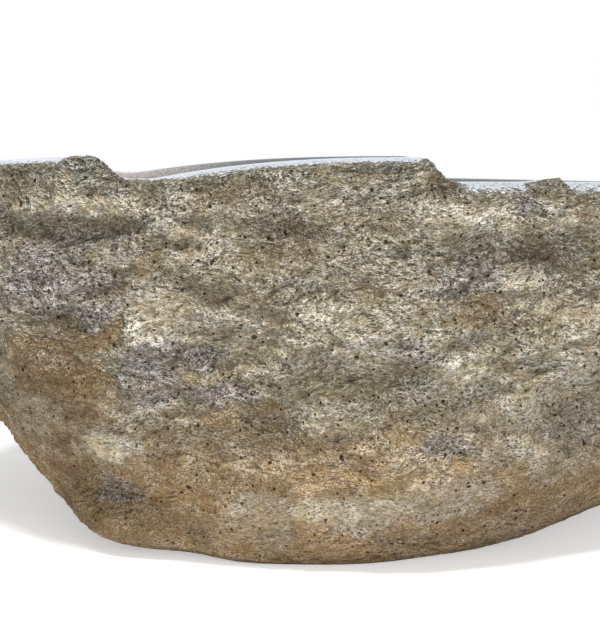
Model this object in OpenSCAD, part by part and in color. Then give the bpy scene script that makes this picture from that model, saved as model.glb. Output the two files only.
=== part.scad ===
// Stone fountain basin: a hewn boulder with a stepped, polished rim, a hollowed bowl and a
// brass water fitting through its floor. The standpipe lifts out, and the bubbler cap turns on it.
// Millimetres. +Z is up, +Y is the back. The origin is on the base plane, on the core hole's axis.

/* [Boulder] */
// From the core hole's axis to the widest point on the left
reach_left = 345; // [310:1:380]
// From the axis to the widest point on the right
reach_right = 350; // [315:1:385]
// From the axis to the widest point at the front
reach_front = 255; // [230:1:280]
// From the axis to the widest point at the back
reach_back = 262; // [235:1:290]
// Height of the highest part of the rim above the base plane
rim_h = 299; // [270:1:330]
// Height of the widest ring of the boulder
belly_h = 182; // [160:1:205]
// From the axis to the left edge of the sawn base
base_left = 191; // [172:1:210]
// From the axis to the right edge of the sawn base
base_right = 124; // [110:1:140]
// From the axis to the front edge of the sawn base
base_front = 204; // [185:1:220]
// From the axis to the back edge of the sawn base
base_back = 184; // [165:1:205]
// Depth of the waves left by splitting the stone
cleft_depth = 2.6; // [0:0.1:4]
// Depth of the uneven layers of the split face
fracture_depth = 10.5; // [0:0.5:12]

/* [Rim] */
// Width of the rim between the boulder's reach and the bowl's mouth
rim_w = 66; // [56:1:78]
// Width of the broken bevel outside the polished rim
bevel_w = 9; // [5:0.5:14]
// How far the bevel falls below the polished rim
bevel_drop = 2.5; // [1:0.5:4]
// How far the polished rim falls from its inner edge out to the bevel
rim_fall = 3.5; // [0:0.5:5]
// How much lower the rim is at the back than at the front
back_fall = 2; // [0:0.5:4]
// Height lost at the left step, at the low end of the sloping rim
valley_drop = 16; // [10:0.5:20]
// How far the high left block falls away in 100 mm to the left of its step
block_fall = 3; // [0:0.5:6]
// Height lost at the right step, down to the spill lip
lip_drop = 17; // [13:0.5:28]
// How much lower the spill lip is at the back
lip_fall = 5; // [0:0.5:8]
// How much more the rim falls outward on the spill lip
lip_spill = 4; // [0:0.5:6]
// Where the left step meets the front rim, left of the axis
left_step_x = 167; // [150:1:185]
// Where the right step meets the front rim, right of the axis
right_step_x = 56; // [50:1:78]
// How much further left the left step lies at the back rim
left_step_skew = 78; // [40:1:90]
// How much further right the right step lies at the back rim
right_step_skew = 28; // [10:1:40]
// Half the width of the left step's slope
left_step_run = 12; // [8:1:16]
// Half the width of the right step's slope
right_step_run = 10; // [9:1:18]
// Height of the knob left standing on the front of the spill lip
knob_h = 6; // [0:0.5:12]
// Where the knob stands, right of the axis
knob_x = 144; // [124:1:162]

/* [Bowl] */
// Height of the bowl's flat landing above the base plane
floor_h = 135; // [120:1:150]
// Diameter of the flat landing round the fitting
landing_d = 124; // [104:1:144]
// How square the bowl's section is: 1 is a cone, more is a fuller bowl
bowl_fullness = 2.3; // [1.8:0.1:3]
// Height of the round-over between the rim and the bowl
mouth_round = 7; // [4:0.5:10]

/* [Holes in the stone] */
// Diameter of the core hole through the bowl's floor
core_d = 50; // [42:1:58]
// Diameter of the recess cut in the underside
recess_d = 146; // [140:1:156]
// Depth of that recess
recess_depth = 70; // [64:1:80]
// Width of the hose channel from the recess to the back
channel_w = 60; // [52:1:68]
// Height of the hose channel
channel_h = 52; // [46:1:58]

/* [Tank connector] */
// Outside diameter of the connector's thread
thread_d = 33.2; // [30:0.1:36]
// Diameter of the flange on the landing
flange_d = 68; // [60:1:76]
// Thickness of the flange
flange_t = 5; // [4:0.5:7]
// Diameter of the smooth socket that takes the standpipe
socket_d = 26; // [25:0.1:27]
// Depth of the socket below the flange's top
socket_depth = 42; // [34:1:50]
// Diameter of the waterway below the socket
waterway_d = 19; // [16:0.5:21]
// Length of thread left below the lock nut
thread_tail = 16; // [13:0.5:18]

/* [Seals and nut] */
// Outside diameter of both gaskets and the thrust washer
washer_d = 62; // [56:1:68]
// Thickness of the gasket under the flange
flange_gasket_t = 3; // [2:0.5:4]
// Thickness of the gasket in the recess
under_gasket_t = 4; // [3:0.5:5]
// Thickness of the brass thrust washer
thrust_t = 2.5; // [2:0.5:3]
// Lock nut, across its flats
nut_af = 46; // [42:1:50]
// Thickness of the lock nut
nut_t = 11.5; // [10:0.5:13]
// Radial clearance of pieces threaded on the connector
thread_gap = 0.15; // [0.1:0.05:0.3]

/* [Supply elbow] */
// Outside diameter of the elbow's threaded hub
hub_d = 44; // [40:1:48]
// Outside diameter of the elbow's bend
bend_d = 31; // [28:1:32]
// Diameter of the elbow's waterway
elbow_bore_d = 19; // [16:0.5:21]
// Diameter of the plain outlet thread at the back
outlet_d = 26.4; // [25:0.1:27]
// Length of that outlet thread
outlet_len = 18; // [14:1:19]
// From the axis to the shoulder in front of the outlet thread
outlet_start = 50; // [46:1:52]
// Thickness of the fibre seal in the elbow's hub
elbow_seal_t = 2; // [1.5:0.5:3]

/* [Standpipe] */
// Outside diameter of the standpipe
pipe_d = 22; // [20:0.5:23]
// Bore of the standpipe
pipe_bore_d = 18; // [15:0.5:18.5]
// Height of the pipe above the flange
pipe_rise = 88; // [76:1:100]
// Diameter of the collar that rests on the flange
collar_d = 38; // [34:1:44]
// Thickness of the collar
collar_t = 4; // [3:0.5:6]
// Gap under the collar, and below the pipe's foot
seat_gap = 0.3; // [0.2:0.05:0.5]
// Radial gap between the pipe's foot and the socket
foot_gap = 0.2; // [0.15:0.05:0.3]
// Thickness of the O-rings
ring_t = 2.3; // [2:0.1:2.6]
// Depth of the upper O-ring below the flange's top
ring_depth = 12; // [9:1:15]
// Distance between the two O-rings
ring_pitch = 12; // [9:1:14]

/* [Bubbler cap] */
// Outside diameter of the cap's grip
cap_d = 42; // [36:1:48]
// Height of the cap's knurled grip
grip_h = 15; // [12:0.5:18]
// Height of the dome above the grip
dome_h = 11; // [9:0.5:14]
// Wall of the dome
dome_wall = 2.5; // [2:0.25:3.5]
// Radial gap between the cap and the pipe
cap_gap = 0.08; // [0.04:0.01:0.1]
// Gap between the cap and its jam nut
jam_gap = 0.2; // [0.1:0.05:0.5]
// Diameter of the jet in the middle of the dome
jet_d = 9; // [6:0.5:11]
// Diameter of the small holes round the jet
spray_d = 3.6; // [2.5:0.1:4.5]
// How many small holes there are
spray_count = 10; // [6:1:12]
// Jam nut under the cap, across its flats
jam_af = 30; // [28:1:34]
// Thickness of the jam nut
jam_t = 6; // [5:0.5:8]

/* [Hidden] */

cut = 1;                  // how far a cutter runs past the face that it cuts
run_out = 40;             // how far the channel's cutter runs past the boulder's reach
fine = 72;                // facets of a turned piece in the preview
hub_gap = 2;              // between the elbow's hub and the lock nut
flute_end = 2;            // from each end of the cap's grip to its flutes

// Outline of the boulder, seen from above
outline_power = 2.25;     // 2 is an ellipse, more is squarer
columns = 150;            // corners of each ring
foot_row = 0.045;         // height of the first full row, as a share of the wall
face_rows = 26;           // rows above it
wall_rows = concat([0, 0.018], [for (i = [0 : face_rows]) foot_row + (1 - foot_row) * i / face_rows]);
bowl_rows = [1, 0.97, 0.9, 0.78, 0.62, 0.45, 0.28, 0.12, 0];

// How the flanks curve from the base out to the belly, at the right, back, left and front
flank_swell = [1.8, 2.0, 1.35, 2.4];
flank_bow = [2.2, 1.8, 1.55, 1.4];
// How far the flanks lean back in above the belly, as a share, in the same order
flank_lean = [0.035, 0.04, 0.03, 0.03];

// Broad swellings (+) and hollows (-) of the boulder's skin. Each has its azimuth, its height, half
// its width in degrees, half its height, and its depth. Heights and depths are percentages of rim_h
swellings = [
    [224, 5, 12, 8, 9.4], [236, -1, 8, 4, -3.3], [244, 0, 14, 6, 4], [286, -1, 14, 5, -3],
    [312, 2, 12, 8, 0.7], [203, 33, 10, 14, -2.3], [222, 51, 12, 12, 2.3], [218, 90, 12, 5, 1.7],
    [229, 81, 14, 4, -2], [252, 71, 14, 8, 1.7], [262, 44, 15, 9, -1.7], [283, 60, 9, 20, 1.7],
    [300, 73, 11, 7, -2.3], [308, 55, 14, 8, 2], [284, 23, 20, 8, 2], [322, 38, 12, 12, -2],
    [345, 51, 14, 14, 2.7], [10, 73, 12, 12, -2.3], [32, 41, 14, 15, 3], [62, 65, 16, 14, -2.7],
    [88, 33, 16, 12, 2.3], [112, 73, 14, 10, 2], [134, 38, 16, 14, -3], [160, 62, 16, 15, 2.7],
    [182, 41, 12, 12, -2], [186, 81, 12, 7, 1.7]
];

// Smaller ledges and hollows of the split face, written the same way
ledges = [
    [226, 88, 7, 2.6, 1.3], [230, 83, 8, 2.6, -1.7], [218, 92, 4, 3.5, -1.1], [234, 88, 4, 2.4, 0.9],
    [238, 82, 4.5, 2.2, 1.1], [241, 79, 5, 2.2, -1.0], [245, 76, 5, 2.2, 1.1], [253, 91, 8, 3.6, -1.1],
    [259, 81, 7, 4.5, -1.9], [264, 86, 5, 2.4, 1.2], [288, 86, 8, 2.6, 1.6], [296, 87, 3, 2.4, -1.0],
    [298, 78, 6, 2.4, -2.0], [304, 84, 5, 2.4, 1.1], [283, 92, 3, 4, -1.1], [297, 70, 5.5, 2.4, 1.4],
    [288, 69, 4, 4, -1.0], [233, 68, 3.5, 2.4, -1.1], [227, 60, 5, 2.6, -1.1], [238, 58, 3.2, 7, 1.2],
    [245, 64, 6, 3, 1.0], [249, 67, 4, 2.4, -0.9], [244, 51, 7, 2.6, -1.4], [240, 46, 5, 2.2, 0.8],
    [252, 46, 4, 2.2, -0.9], [271, 50, 7, 2.2, -1.3], [268, 57, 6, 3.5, 1.1], [233, 31, 3.5, 4.5, 1.3],
    [228, 17, 6, 4, -1.0], [294, 61, 4.5, 2.2, -1.1], [293, 46, 4, 2.2, -1.0], [285, 52, 4, 2.8, 1.1],
    [257, 36, 5, 4, -0.9], [267, 28, 6, 3.5, -1.0], [274, 17, 7, 4, 0.9], [291, 37, 7, 2.4, -1.0],
    [306, 66, 4, 2.4, -1.1], [212, 74, 5, 3, -1.3], [335, 70, 8, 3, 1.5], [350, 62, 7, 3, -1.6],
    [16, 55, 8, 3, 1.6], [40, 72, 8, 3, -1.5], [70, 48, 8, 3, 1.5], [98, 66, 7, 3, -1.6],
    [125, 52, 8, 4, 1.5], [150, 76, 8, 3, -1.5], [172, 55, 8, 3, 1.5], [194, 68, 7, 3, -1.5]
];
layer_dip = 36;           // how far the split face's layers rise from the axis to the right

// The rim's slope starts to climb this far past the left step, and is level this far before the right
slope_lead = 32;
slope_level = 10;
slope_curve = 2.6;        // 1 climbs evenly, more climbs steeply at first
notch_ends = [10, 35];    // from before the climb to past it, the rim starts to fall outward
lip_taper = 220;          // past the right step, the back of the lip falls twice as far by here
knob_sides = [12, 6];     // half the width of the knob, to its left and to its right

function ease(from, to, x) = let (t = min(1, max(0, (x - from) / (to - from)))) t * t * (3 - 2 * t);

// A value that is v[0] to the right, v[1] at the back, v[2] to the left and v[3] at the front
function around(az, v) =
    pow(cos(az), 2) * (cos(az) > 0 ? v[0] : v[2]) + pow(sin(az), 2) * (sin(az) > 0 ? v[1] : v[3]);

// Radius of a squared oval whose reach is less by inset than the boulder's
function oval(az, inset) =
    pow(pow(abs(cos(az)) / ((cos(az) > 0 ? reach_right : reach_left) - inset), outline_power)
        + pow(abs(sin(az)) / ((sin(az) > 0 ? reach_back : reach_front) - inset), outline_power),
        -1 / outline_power);

function belly_r(az) = oval(az, 0) * (1 + 0.012 * sin(3 * az + 35) + 0.010 * sin(5 * az + 115));

function base_share(az) = around(az, [base_right / reach_right, base_back / reach_back,
                                      base_left / reach_left, base_front / reach_front]);

function sum(v) = v * [for (x = v) 1];

function bumps(list, az, z) = let (share = 100 * z / rim_h) rim_h / 100 * sum([for (s = list)
    s[4] * exp(-pow(((az - s[0] + 540) % 360 - 180) / s[2], 2) - pow((share - s[1]) / s[3], 2))]);

// Waves left by splitting, as the sum of a few slanting folds
function cleft(az, z) = let (turn = 300 * z / rim_h) cleft_depth
    * (0.5 * sin(7 * az + 1.9 * turn) + 0.4 * sin(11 * az - 2.6 * turn + 70)
       + 0.35 * sin(3.4 * turn + 2 * az + 20) + 0.3 * sin(17 * az + 3.1 * turn + 150));

// A number from 0 to 1 for each corner of a lattice, the same every time
function chance(i, j) = let (v = 4375.85 * sin(i * 127.1 + j * 311.7 + 17)) v - floor(v);

// Smooth heights from -0.5 to 0.5 between those corners: u goes round in so many turns, v goes up
function lattice(u, v, turns) =
    let (i = floor(u), j = floor(v), s = ease(0, 1, u - i), t = ease(0, 1, v - j),
         here = i % turns, beyond = (i + 1) % turns,
         low = chance(here, j) * (1 - s) + chance(beyond, j) * s,
         high = chance(here, j + 1) * (1 - s) + chance(beyond, j + 1) * s)
    low * (1 - t) + high * t - 0.5;

// Unevenness of the split stone, in layers that rise a little to the right
function fracture(az, z) =
    let (level = 300 * z / rim_h - layer_dip * cos(az),
         u = az / 360 + 0.004 * sin(5 * level), v = level + 9 * sin(6 * az))
    fracture_depth * (0.62 * lattice(38 * u + 38, v / 27 + 50, 38)
                      + 0.38 * lattice(74 * u + 74, v / 15 + 90, 74));

// How far back a place is, from 0 at the front to 1, and where the two steps lie there
function back_share(y) = (y + reach_front) / (reach_front + reach_back);
function left_at(y) = -left_step_x - left_step_skew * back_share(y);
function right_at(y) = right_step_x + right_step_skew * back_share(y);
function past_left(x, y) = ease(left_at(y) - left_step_run, left_at(y) + left_step_run, x);
function past_right(x, y) = ease(right_at(y) - right_step_run, right_at(y) + right_step_run, x);

// Height of the rim's inner edge at a place seen from above: a high left block, a slope that
// climbs from the left step to the right one, and the low spill lip beyond that
function rim_z(x, y) =
    let (back = back_share(y), left_x = left_at(y), right_x = right_at(y),
         climb = min(1, max(0, (x - left_x - slope_lead) / (right_x - left_x - slope_lead - slope_level))),
         slope = rim_h - valley_drop * pow(1 - climb, slope_curve),
         lip = rim_h - lip_drop - lip_fall * back * (1 + min(1, max(0, (x - right_x) / lip_taper))),
         high = rim_h - block_fall / 100 * min(150, max(0, left_x - x)),
         block = high + (slope - high) * past_left(x, y),
         knob_side = knob_sides[x < knob_x ? 0 : 1],
         knob = knob_h * exp(-pow((x - knob_x) / knob_side, 2)) * (1 - ease(0, 0.25, back)))
    block + (lip - block) * past_right(x, y) + knob - back_fall * back;

// How far the rim falls from its inner edge outward: not at all in the notch, most on the lip
function fall_at(x, y) =
    let (foot = left_at(y) + slope_lead,
         notch = past_left(x, y) * (1 - ease(foot - notch_ends[0], foot + notch_ends[1], x)))
    rim_fall * (1 - notch) + lip_spill * past_right(x, y);

// A point on the outside of the boulder: t is 0 at the base's edge and 1 at the rim's
function wall_point(az, t) =
    let (r0 = belly_r(az),
         lean = around(az, flank_lean),
         top_r = r0 * (1 - lean),
         x = top_r * cos(az), y = top_r * sin(az),
         top = rim_z(x, y) - fall_at(x, y) - bevel_drop,
         z = t * top,
         low = min(1, z / belly_h),
         high = max(0, (z - belly_h) / (top - belly_h)),
         share = base_share(az),
         curve = 1 - pow(1 - low, around(az, flank_swell)),
         flank = share + (1 - share) * pow(curve, 1 / around(az, flank_bow)),
         broad = r0 * flank * (1 - lean * pow(high, 1.8)) + bumps(swellings, az, z),
         split = cleft(az, z) + fracture(az, z) + bumps(ledges, az, z),
         r = broad + split * ease(0, 0.1, t))
    [r * cos(az), r * sin(az), z];

// The polished rim: k is 0 at its outer edge, just inside the broken bevel, and 1 at its inner edge
function rim_point(az, k) =
    let (p = wall_point(az, 1),
         outer = norm([p[0], p[1]]) - bevel_w,
         inner = oval(az, rim_w) + mouth_round,
         r = outer + (inner - outer) * k,
         x = r * cos(az), y = r * sin(az))
    [x, y, rim_z(x, y) - fall_at(x, y) * pow(1 - k, 1.5)];

// The bowl's wall: k is 1 at its mouth and 0 at the landing
function bowl_point(az, k) =
    let (mouth = oval(az, rim_w), r = landing_d / 2 + (mouth - landing_d / 2) * k,
         top = rim_z(mouth * cos(az), mouth * sin(az)) - mouth_round)
    [r * cos(az), r * sin(az), floor_h + (top - floor_h) * pow(k, bowl_fullness)];

// Half way round the turn from the rim into the bowl
function turn_point(az) =
    let (r = oval(az, rim_w) + mouth_round * 0.3, x = r * cos(az), y = r * sin(az))
    [x, y, rim_z(x, y) - mouth_round * 0.3];

function ring_of(f) = [for (i = [0 : columns - 1]) f(360 * i / columns)];

rings = concat(
    [for (t = wall_rows) ring_of(function (az) wall_point(az, t))],
    [for (k = [0, 0.5, 1]) ring_of(function (az) rim_point(az, k))],
    [ring_of(function (az) turn_point(az))],
    [for (k = bowl_rows) ring_of(function (az) bowl_point(az, k))]
);

// Heights of the fitting's pieces, stacked from the landing and from the recess's ceiling
flange_z = floor_h + flange_gasket_t;
flange_top = flange_z + flange_t;
under_gasket_z = recess_depth - under_gasket_t;
thrust_z = under_gasket_z - thrust_t;
nut_z = thrust_z - nut_t;
thread_end = nut_z - thread_tail;
hub_top = nut_z - hub_gap;
hub_floor = thread_end - elbow_seal_t;
socket_floor = flange_top - socket_depth;
bend_z = hub_floor - bend_d / 2 + 1;
thread_hole_d = thread_d + 2 * thread_gap;
collar_z = flange_top + seat_gap;
foot_z = socket_floor + 1;
foot_d = socket_d - 2 * foot_gap;
pipe_top = flange_top + pipe_rise;
ring_mid_r = socket_d / 2 - 0.05 - ring_t / 2;
upper_ring_z = flange_top - ring_depth;
cap_z = pipe_top - grip_h + 1;
jam_z = cap_z - jam_gap - jam_t;
cap_hole_d = pipe_d + 2 * cap_gap;

// One closed shell from the base's edge, up the flanks, over the rim and down to the landing
module boulder() {
    last = len(rings) - 1;
    points = [for (ring = rings) each ring];
    bottom = [for (i = [0 : columns - 1]) i];
    landing = [for (i = [columns - 1 : -1 : 0]) last * columns + i];
    sides = [for (j = [0 : last - 1], i = [0 : columns - 1])
        let (a = j * columns + i, b = j * columns + (i + 1) % columns)
        each [[a, a + columns, b], [b, a + columns, b + columns]]];
    polyhedron(points, concat([bottom, landing], sides), convexity = 6);
}

// Arched slot for the supply hose, from the recess out under the back
module hose_channel() {
    reach = reach_back + run_out;
    translate([0, reach, -cut]) rotate([90, 0, 0]) linear_extrude(height = reach) {
        translate([-channel_w / 2, 0]) square([channel_w, channel_h - channel_w / 2 + cut]);
        translate([0, channel_h - channel_w / 2 + cut]) circle(d = channel_w, $fn = fine);
    }
}

// The boulder, cored through its floor and recessed beneath
module stone_basin() {
    color("#a2957c") difference() {
        boulder();
        translate([0, 0, -cut]) cylinder(d = core_d, h = floor_h + 2 * cut, $fn = fine);
        translate([0, 0, -cut]) cylinder(d = recess_d, h = recess_depth + cut, $fn = fine);
        hose_channel();
    }
}

// A flat ring, such as a gasket or washer
module ring_plate(outer, hole, thick, z) {
    translate([0, 0, z]) difference() {
        cylinder(d = outer, h = thick, $fn = fine);
        translate([0, 0, -cut]) cylinder(d = hole, h = thick + 2 * cut, $fn = fine);
    }
}

// A hexagonal nut with a plain bore
module hex_nut(across_flats, hole, thick, z) {
    translate([0, 0, z]) difference() {
        intersection() {
            cylinder(d = across_flats / cos(30), h = thick, $fn = 6);
            translate([0, 0, -across_flats * 0.02])
                cylinder(d1 = across_flats * 0.96, d2 = across_flats * 1.28, h = thick * 1.3, $fn = fine);
        }
        translate([0, 0, -cut]) cylinder(d = hole, h = thick + 2 * cut, $fn = fine);
    }
}

module flange_gasket() {
    color("#1d1d1c") ring_plate(flange_d, thread_hole_d, flange_gasket_t, floor_h);
}

module under_gasket() {
    color("#1d1d1c") ring_plate(washer_d, thread_hole_d, under_gasket_t, under_gasket_z);
}

module thrust_washer() {
    color("#b89a55") ring_plate(washer_d, thread_hole_d, thrust_t, thrust_z);
}

module lock_nut() {
    color("#b89a55") hex_nut(nut_af, thread_hole_d, nut_t, nut_z);
}

// Flanged brass tube, screwed up from the recess: a smooth socket above, a waterway below
module tank_connector() {
    chamfer = 1;
    color("#b89a55") difference() {
        union() {
            translate([0, 0, thread_end]) cylinder(d = thread_d, h = flange_z - thread_end + cut, $fn = fine);
            translate([0, 0, flange_z]) cylinder(d = flange_d, h = flange_t - chamfer, $fn = fine);
            translate([0, 0, flange_top - chamfer])
                cylinder(d1 = flange_d, d2 = flange_d - 2 * chamfer, h = chamfer, $fn = fine);
        }
        translate([0, 0, thread_end - cut]) cylinder(d = waterway_d, h = flange_top, $fn = fine);
        translate([0, 0, socket_floor]) cylinder(d = socket_d, h = socket_depth + cut, $fn = fine);
    }
}

module elbow_seal() {
    color("#6e2f22") ring_plate(thread_d, waterway_d, elbow_seal_t, hub_floor);
}

// Right-angled fitting: hub up to the connector, plain threaded outlet to the back
module supply_elbow() {
    color("#b89a55") difference() {
        union() {
            translate([0, 0, hub_floor - 2]) cylinder(d = hub_d, h = hub_top - hub_floor + 2, $fn = fine);
            translate([0, 0, bend_z]) cylinder(d = bend_d, h = hub_floor - bend_z, $fn = fine);
            translate([0, 0, bend_z]) sphere(d = bend_d, $fn = fine);
            translate([0, 0, bend_z]) rotate([-90, 0, 0]) cylinder(d = bend_d, h = outlet_start, $fn = fine);
            translate([0, 0, bend_z]) rotate([-90, 0, 0])
                cylinder(d = outlet_d, h = outlet_start + outlet_len, $fn = fine);
        }
        translate([0, 0, hub_floor]) cylinder(d = thread_hole_d, h = hub_top, $fn = fine);
        translate([0, 0, bend_z]) cylinder(d = elbow_bore_d, h = hub_top, $fn = fine);
        translate([0, 0, bend_z]) sphere(d = elbow_bore_d, $fn = fine);
        translate([0, 0, bend_z]) rotate([-90, 0, 0])
            cylinder(d = elbow_bore_d, h = outlet_start + outlet_len + cut, $fn = fine);
    }
}

// Lift-out pipe: grooved foot in the socket, collar on the flange, plain top for the cap
module standpipe() {
    groove_r = ring_mid_r - ring_t / 2 - 0.05;
    groove_h = ring_t + 0.7;
    color("#b89a55") difference() {
        union() {
            translate([0, 0, foot_z]) cylinder(d = foot_d, h = collar_z - foot_z + cut, $fn = fine);
            translate([0, 0, collar_z]) cylinder(d = collar_d, h = collar_t, $fn = fine);
            translate([0, 0, collar_z]) cylinder(d = pipe_d, h = pipe_top - collar_z, $fn = fine);
        }
        for (k = [0, 1])
            translate([0, 0, upper_ring_z - k * ring_pitch - groove_h / 2]) difference() {
                cylinder(d = foot_d + 2, h = groove_h, $fn = fine);
                translate([0, 0, -cut]) cylinder(r = groove_r, h = groove_h + 2 * cut, $fn = fine);
            }
        translate([0, 0, foot_z - cut]) cylinder(d = pipe_bore_d, h = pipe_top, $fn = fine);
    }
}

module standpipe_o_rings() {
    color("#1d1d1c") for (k = [0, 1])
        translate([0, 0, upper_ring_z - k * ring_pitch])
            rotate_extrude($fn = fine) translate([ring_mid_r, 0]) circle(d = ring_t, $fn = 24);
}

module cap_jam_nut() {
    color("#b89a55") hex_nut(jam_af, cap_hole_d, jam_t, jam_z);
}

// Screwed cap: fluted grip, low dome, one jet and a ring of small holes
module bubbler_cap() {
    flutes = 24;
    flute_d = 2.4;
    dome_foot = cap_z + grip_h;
    ball_r = (pow(cap_d / 2, 2) + pow(dome_h, 2)) / (2 * dome_h);
    inner_r = cap_d / 2 - dome_wall - 2;
    color("#c2a35c") difference() {
        union() {
            translate([0, 0, cap_z]) cylinder(d = cap_d, h = grip_h, $fn = fine);
            intersection() {
                translate([0, 0, dome_foot + dome_h - ball_r]) sphere(r = ball_r, $fn = fine);
                translate([0, 0, dome_foot]) cylinder(d = cap_d, h = dome_h + cut, $fn = fine);
            }
        }
        translate([0, 0, cap_z - cut]) cylinder(d = cap_hole_d, h = grip_h + cut, $fn = fine);
        intersection() {
            translate([0, 0, dome_foot + dome_h - ball_r]) sphere(r = ball_r - dome_wall, $fn = fine);
            translate([0, 0, pipe_top + 1]) cylinder(r = inner_r, h = dome_h + grip_h, $fn = fine);
        }
        translate([0, 0, dome_foot]) cylinder(d = jet_d, h = dome_h + cut, $fn = fine);
        for (k = [0 : spray_count - 1])
            rotate([0, 0, 360 * k / spray_count]) translate([cap_d * 0.27, 0, dome_foot])
                cylinder(d = spray_d, h = dome_h + cut, $fn = 24);
        for (k = [0 : flutes - 1])
            rotate([0, 0, 360 * (k + 0.5) / flutes])
                translate([cap_d / 2 + flute_d * 0.22, 0, cap_z + flute_end])
                    cylinder(d = flute_d, h = grip_h - 2 * flute_end, $fn = 16);
    }
}

stone_basin();
flange_gasket();
tank_connector();
under_gasket();
thrust_washer();
lock_nut();
elbow_seal();
supply_elbow();
standpipe();
standpipe_o_rings();
cap_jam_nut();
bubbler_cap();
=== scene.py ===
import math

import bpy
import numpy as np
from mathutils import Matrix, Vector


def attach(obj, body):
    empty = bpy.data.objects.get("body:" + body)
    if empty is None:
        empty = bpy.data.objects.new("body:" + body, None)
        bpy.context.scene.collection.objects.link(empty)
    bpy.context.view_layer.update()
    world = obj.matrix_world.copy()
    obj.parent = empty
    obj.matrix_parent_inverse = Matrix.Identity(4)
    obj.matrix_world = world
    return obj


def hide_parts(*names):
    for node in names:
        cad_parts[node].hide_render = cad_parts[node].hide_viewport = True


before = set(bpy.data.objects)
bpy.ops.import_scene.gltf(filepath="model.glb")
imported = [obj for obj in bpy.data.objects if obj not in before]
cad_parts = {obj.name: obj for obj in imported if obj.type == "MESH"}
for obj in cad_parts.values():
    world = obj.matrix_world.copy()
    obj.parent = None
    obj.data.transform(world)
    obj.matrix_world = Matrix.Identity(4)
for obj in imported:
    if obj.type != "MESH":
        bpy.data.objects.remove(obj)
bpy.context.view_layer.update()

# The boulder: one river-worn block of vesicular andesite, split and weathered outside. Its base is
# sawn flat. Its top is cut in steps and polished, and so is the bowl that is ground into it.
# These sizes repeat the ones that its solid is made from, in millimetres.
mm = 0.001
REACH = {"right": 350, "back": 262, "left": 345, "front": 255}
BASE = {"right": 124, "back": 184, "left": 191, "front": 204}
FLANK_SWELL = {"right": 1.8, "back": 2.0, "left": 1.35, "front": 2.4}
FLANK_BOW = {"right": 2.2, "back": 1.8, "left": 1.55, "front": 1.4}
FLANK_LEAN = {"right": 0.035, "back": 0.04, "left": 0.03, "front": 0.03}
OUTLINE_POWER = 2.25
# Slow waves of the outline: how high as a share of the radius, how many round it, and their shift
OUTLINE_WAVES = ((0.012, 3, 35), (0.010, 5, 115))
RIM_H = 299
BELLY_H = 182
CLEFT_DEPTH = 2.6
# Crossing waves of the clefts: share of the depth, how many go round and up, and their shift
CLEFTS = ((0.5, 7, 1.9, 0), (0.4, 11, -2.6, 70), (0.35, 2, 3.4, 20), (0.3, 17, 3.1, 150))
FRACTURE_DEPTH = 10.5
# The split layers: share of the depth, how many cells go round, their height and a shift
LAYERS = ((0.62, 38, 27, 50), (0.38, 74, 15, 90))
LAYER_DIP = 36
RIM_W = 66
BEVEL_W = 9
BEVEL_DROP = 2.5
RIM_FALL = 3.5
BACK_FALL = 2
VALLEY_DROP = 16
SLOPE_CURVE = 2.6
BLOCK_FALL = 3
LIP_DROP = 17
LIP_FALL = 5
LIP_SPILL = 4
LIP_TAPER = 220
LEFT_STEP_X = 167
RIGHT_STEP_X = 56
LEFT_STEP_SKEW = 78
RIGHT_STEP_SKEW = 28
LEFT_STEP_RUN = 12
RIGHT_STEP_RUN = 10
SLOPE_LEAD = 32
NOTCH_ENDS = (10, 35)
SLOPE_LEVEL = 10
KNOB_H = 6
KNOB_X = 144
KNOB_SIDES = {"left": 12, "right": 6}
FLOOR_H = 135
LANDING_R = 62
BOWL_FULLNESS = 2.3
MOUTH_ROUND = 7

# Broad swellings (+) and hollows (-): azimuth, height, half width in degrees, half height, depth.
# Heights and depths are percentages of the rim's height. These are the solid's.
SWELLINGS = [
    [224, 5, 12, 8, 9.4], [236, -1, 8, 4, -3.3], [244, 0, 14, 6, 4], [286, -1, 14, 5, -3],
    [312, 2, 12, 8, 0.7], [203, 33, 10, 14, -2.3], [222, 51, 12, 12, 2.3], [218, 90, 12, 5, 1.7],
    [229, 81, 14, 4, -2], [252, 71, 14, 8, 1.7], [262, 44, 15, 9, -1.7], [283, 60, 9, 20, 1.7],
    [300, 73, 11, 7, -2.3], [308, 55, 14, 8, 2], [284, 23, 20, 8, 2], [322, 38, 12, 12, -2],
    [345, 51, 14, 14, 2.7], [10, 73, 12, 12, -2.3], [32, 41, 14, 15, 3], [62, 65, 16, 14, -2.7],
    [88, 33, 16, 12, 2.3], [112, 73, 14, 10, 2], [134, 38, 16, 14, -3], [160, 62, 16, 15, 2.7],
    [182, 41, 12, 12, -2], [186, 81, 12, 7, 1.7],
]

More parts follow.
